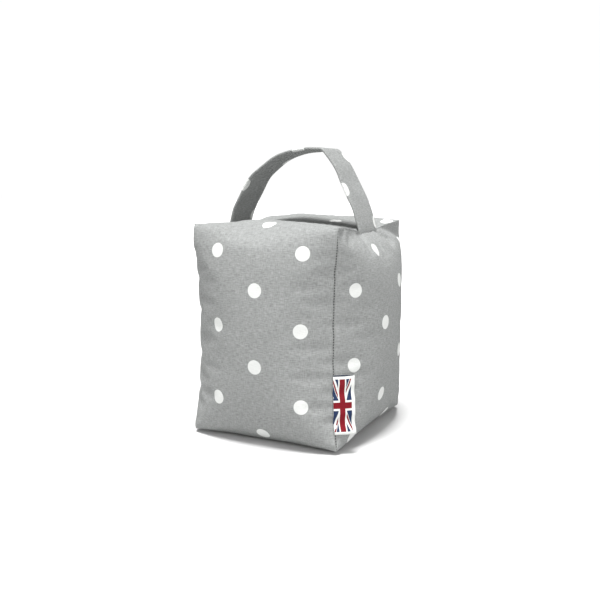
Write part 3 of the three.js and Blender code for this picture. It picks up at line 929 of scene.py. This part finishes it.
# The print on the tag: where its field starts and ends, its two bars with their white edges,
# the white rays and the red core of each ray
FIELD_ACROSS = (-1.2, 14.3)
FIELD_UP = (2.4, 47.8)
UPRIGHT_BAR, UPRIGHT_EDGE = 4.6, 1.1
LEVEL_BAR, LEVEL_EDGE = 5.4, 1.7
RAY, RAY_CORE = 3.2, 1.2
# Its edges: how soft each is and how far its yarn strays from it, in millimetres
PRINT_EDGE = 0.06
EDGE_STRAY = 0.1
EDGE_SIZE = (0.25, 0.25)
EDGE_SEED = 1.0
# The ribbon's ribs and grain: their sizes, and how much each lightens and raises it
RIB = 0.35
RIB_TONE = 0.06
RIB_RELIEF = 0.5
GRAIN_SIZE = (0.35, 0.5)
GRAIN_SEED = 3.0
GRAIN_TONE = 0.25
RIBBON_DEPTH = 0.06
RIBBON_ROUGHNESS = 0.7


def tag_ribbon():
    """Woven ribbon with an upright cross and rays on a dark field, as flat fields of colour."""
    cloth = Cloth("woven ribbon", RIBBON_ROUGHNESS)
    u, v = cloth.place("Fabric")
    opening_shade, _ = cloth.place("Reverse")
    wide, tall = FIELD_ACROSS[1] - FIELD_ACROSS[0], FIELD_UP[1] - FIELD_UP[0]
    fuzz = cloth.noise(u, v, EDGE_SIZE, seed=EDGE_SEED) * EDGE_STRAY
    x = u - sum(FIELD_ACROSS) / 2 + fuzz
    y = v - sum(FIELD_UP) / 2 + fuzz
    edge = lambda value, at: value.fall(at - PRINT_EDGE, at + PRINT_EDGE)
    inside = edge(x.abs(), wide / 2) * edge(y.abs(), tall / 2)
    ray = (y.abs() * wide - x.abs() * tall) / math.hypot(wide, tall) * (x * y).math("SIGN")
    core = edge(ray, RAY_CORE) * edge(ray * -1, 0.0)
    colour = cloth.mix(edge(ray.abs(), RAY / 2), NAVY, TAG_WHITE)
    colour = cloth.mix(core, colour, RED)
    for upright, level, paint in (
        (UPRIGHT_BAR / 2 + UPRIGHT_EDGE, LEVEL_BAR / 2 + LEVEL_EDGE, TAG_WHITE),
        (UPRIGHT_BAR / 2, LEVEL_BAR / 2, RED),
    ):
        bars = edge(x.abs(), upright).max(edge(y.abs(), level))
        colour = cloth.mix(bars, colour, paint)
    colour = cloth.mix(inside, TAG_WHITE, colour)
    # Painted shade inside the fold near the ribbon's open top
    colour = cloth.mix(opening_shade, colour, TAG_OPENING_SHADE)
    rib = (v * (2 * math.pi / RIB)).math("SINE")
    grain = cloth.noise(u, v, GRAIN_SIZE, seed=GRAIN_SEED)
    tone = rib * RIB_TONE + grain * GRAIN_TONE + 1
    return cloth.finish(cloth.shade(colour, tone), rib * RIB_RELIEF + grain, RIBBON_DEPTH)


# The camera, from the photograph: it stands to the right of the front and a little above.
# Distances are in metres, and the focal length is in pixels of the photograph.
VIEW_AZIMUTH = math.radians(26.58)
VIEW_PITCH = math.radians(9.02)
VIEW_DISTANCE = 0.7314
VIEW_ASIDE = -0.0012
VIEW_HEIGHT = 0.1161
FOCAL_PIXELS = 780
PHOTO_PIXELS = 600
SENSOR = 36


def add_camera():
    back = Vector((
        math.sin(VIEW_AZIMUTH) * math.cos(VIEW_PITCH),
        -math.cos(VIEW_AZIMUTH) * math.cos(VIEW_PITCH),
        math.sin(VIEW_PITCH),
    ))
    right = Vector((math.cos(VIEW_AZIMUTH), math.sin(VIEW_AZIMUTH), 0))
    data = bpy.data.cameras.new("camera")
    camera = link(data, "camera")
    camera.location = Vector((0, 0, VIEW_HEIGHT)) + right * VIEW_ASIDE + back * VIEW_DISTANCE
    camera.rotation_euler = (-back).to_track_quat("-Z", "Y").to_euler()
    data.sensor_width = SENSOR
    data.lens = FOCAL_PIXELS / PHOTO_PIXELS * SENSOR
    bpy.context.scene.camera = camera


# The floor: how pale and how dull it is, and how far it reaches, in metres
FLOOR_PAINT = 0.55
FLOOR_ROUGHNESS = 0.9
FLOOR_REACH = 6.0
# The strength of the pale walls and of the dim studio above them, and the heights of a
# direction between which one gives way to the other
WALLS, ABOVE = 1.02, 0.08
WALLS_END = (0.28, 0.45)
# The lamps: strength, spread in degrees, and the way each one shines
LAMPS = {
    "overhead": (7.0, 24, (0.0, 0.14, -1)),
    "front": (0.95, 30, (-0.29, 0.8, -0.53)),
    "right": (0.85, 30, (-0.75, 0.433, -0.5)),
}


def add_floor():
    mesh = bpy.data.meshes.new("floor")
    signs = ((-1, -1), (1, -1), (1, 1), (-1, 1))
    corners = [(x * FLOOR_REACH, y * FLOOR_REACH, 0) for x, y in signs]
    mesh.from_pydata(corners, [], [(0, 1, 2, 3)])
    paint = bpy.data.materials.new("floor")
    paint.use_nodes = True
    shader = paint.node_tree.nodes["Principled BSDF"]
    shader.inputs["Base Color"].default_value = (FLOOR_PAINT, FLOOR_PAINT, FLOOR_PAINT, 1)
    shader.inputs["Roughness"].default_value = FLOOR_ROUGHNESS
    mesh.materials.append(paint)
    link(mesh, "floor")


def add_backdrop():
    """The studio round about: pale walls of some height, and dim above them."""
    world = bpy.data.worlds.new("studio")
    bpy.context.scene.world = world
    world.use_nodes = True
    tree = world.node_tree
    way = tree.nodes.new("ShaderNodeTexCoord")
    parts = tree.nodes.new("ShaderNodeSeparateXYZ")
    tree.links.new(way.outputs["Generated"], parts.inputs[0])
    light = Value(tree, parts.outputs["Z"]).fall(*WALLS_END) * (WALLS - ABOVE) + ABOVE
    tree.links.new(light.socket, tree.nodes["Background"].inputs["Strength"])
    tree.nodes["Background"].inputs["Color"].default_value = (1, 1, 1, 1)


def add_lamps():
    for name, (strength, spread, aim) in LAMPS.items():
        sun = bpy.data.lights.new(name, "SUN")
        sun.energy = strength
        sun.angle = math.radians(spread)
        lamp = link(sun, name)
        lamp.rotation_euler = Vector(aim).to_track_quat("-Z", "Y").to_euler()


cotton = spotted_cotton()
fine_pattern = build_cover(cotton)
build_strap(cotton)
build_tag(tag_ribbon(), fine_pattern)
add_camera()
add_floor()
add_backdrop()
add_lamps()
bpy.context.scene.view_settings.view_transform = "Standard"
